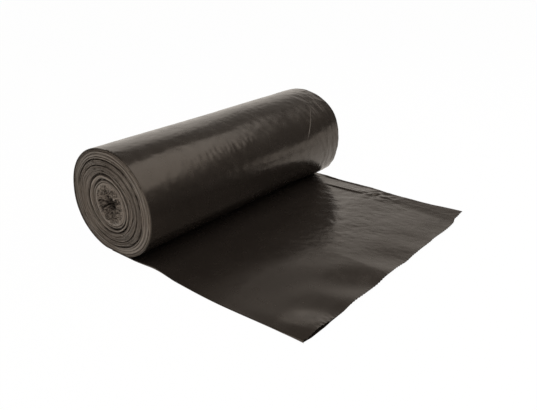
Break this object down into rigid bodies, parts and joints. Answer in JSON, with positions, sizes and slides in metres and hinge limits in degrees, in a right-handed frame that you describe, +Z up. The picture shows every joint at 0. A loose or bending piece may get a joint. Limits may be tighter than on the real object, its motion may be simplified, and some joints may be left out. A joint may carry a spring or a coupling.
{
  "type": "bin bag roll",
  "caption": "Coreless roll of perforated plastic film bin bags on its side, with the outermost bag drawn out flat on the floor.",
  "frame": {"origin": "on the floor, in the middle of the flat spot under the wound roll", "axes": "+X from the roll along the free length, +Y along the roll towards the folded band, +Z up"},
  "size_m": [0.282, 0.3075, 0.1073],
  "materials": {
    "film": "satin black-brown film, finely creased"
  },
  "bodies": {
    "root": {"bag_roll": "film"}
  },
  "joints": []
}
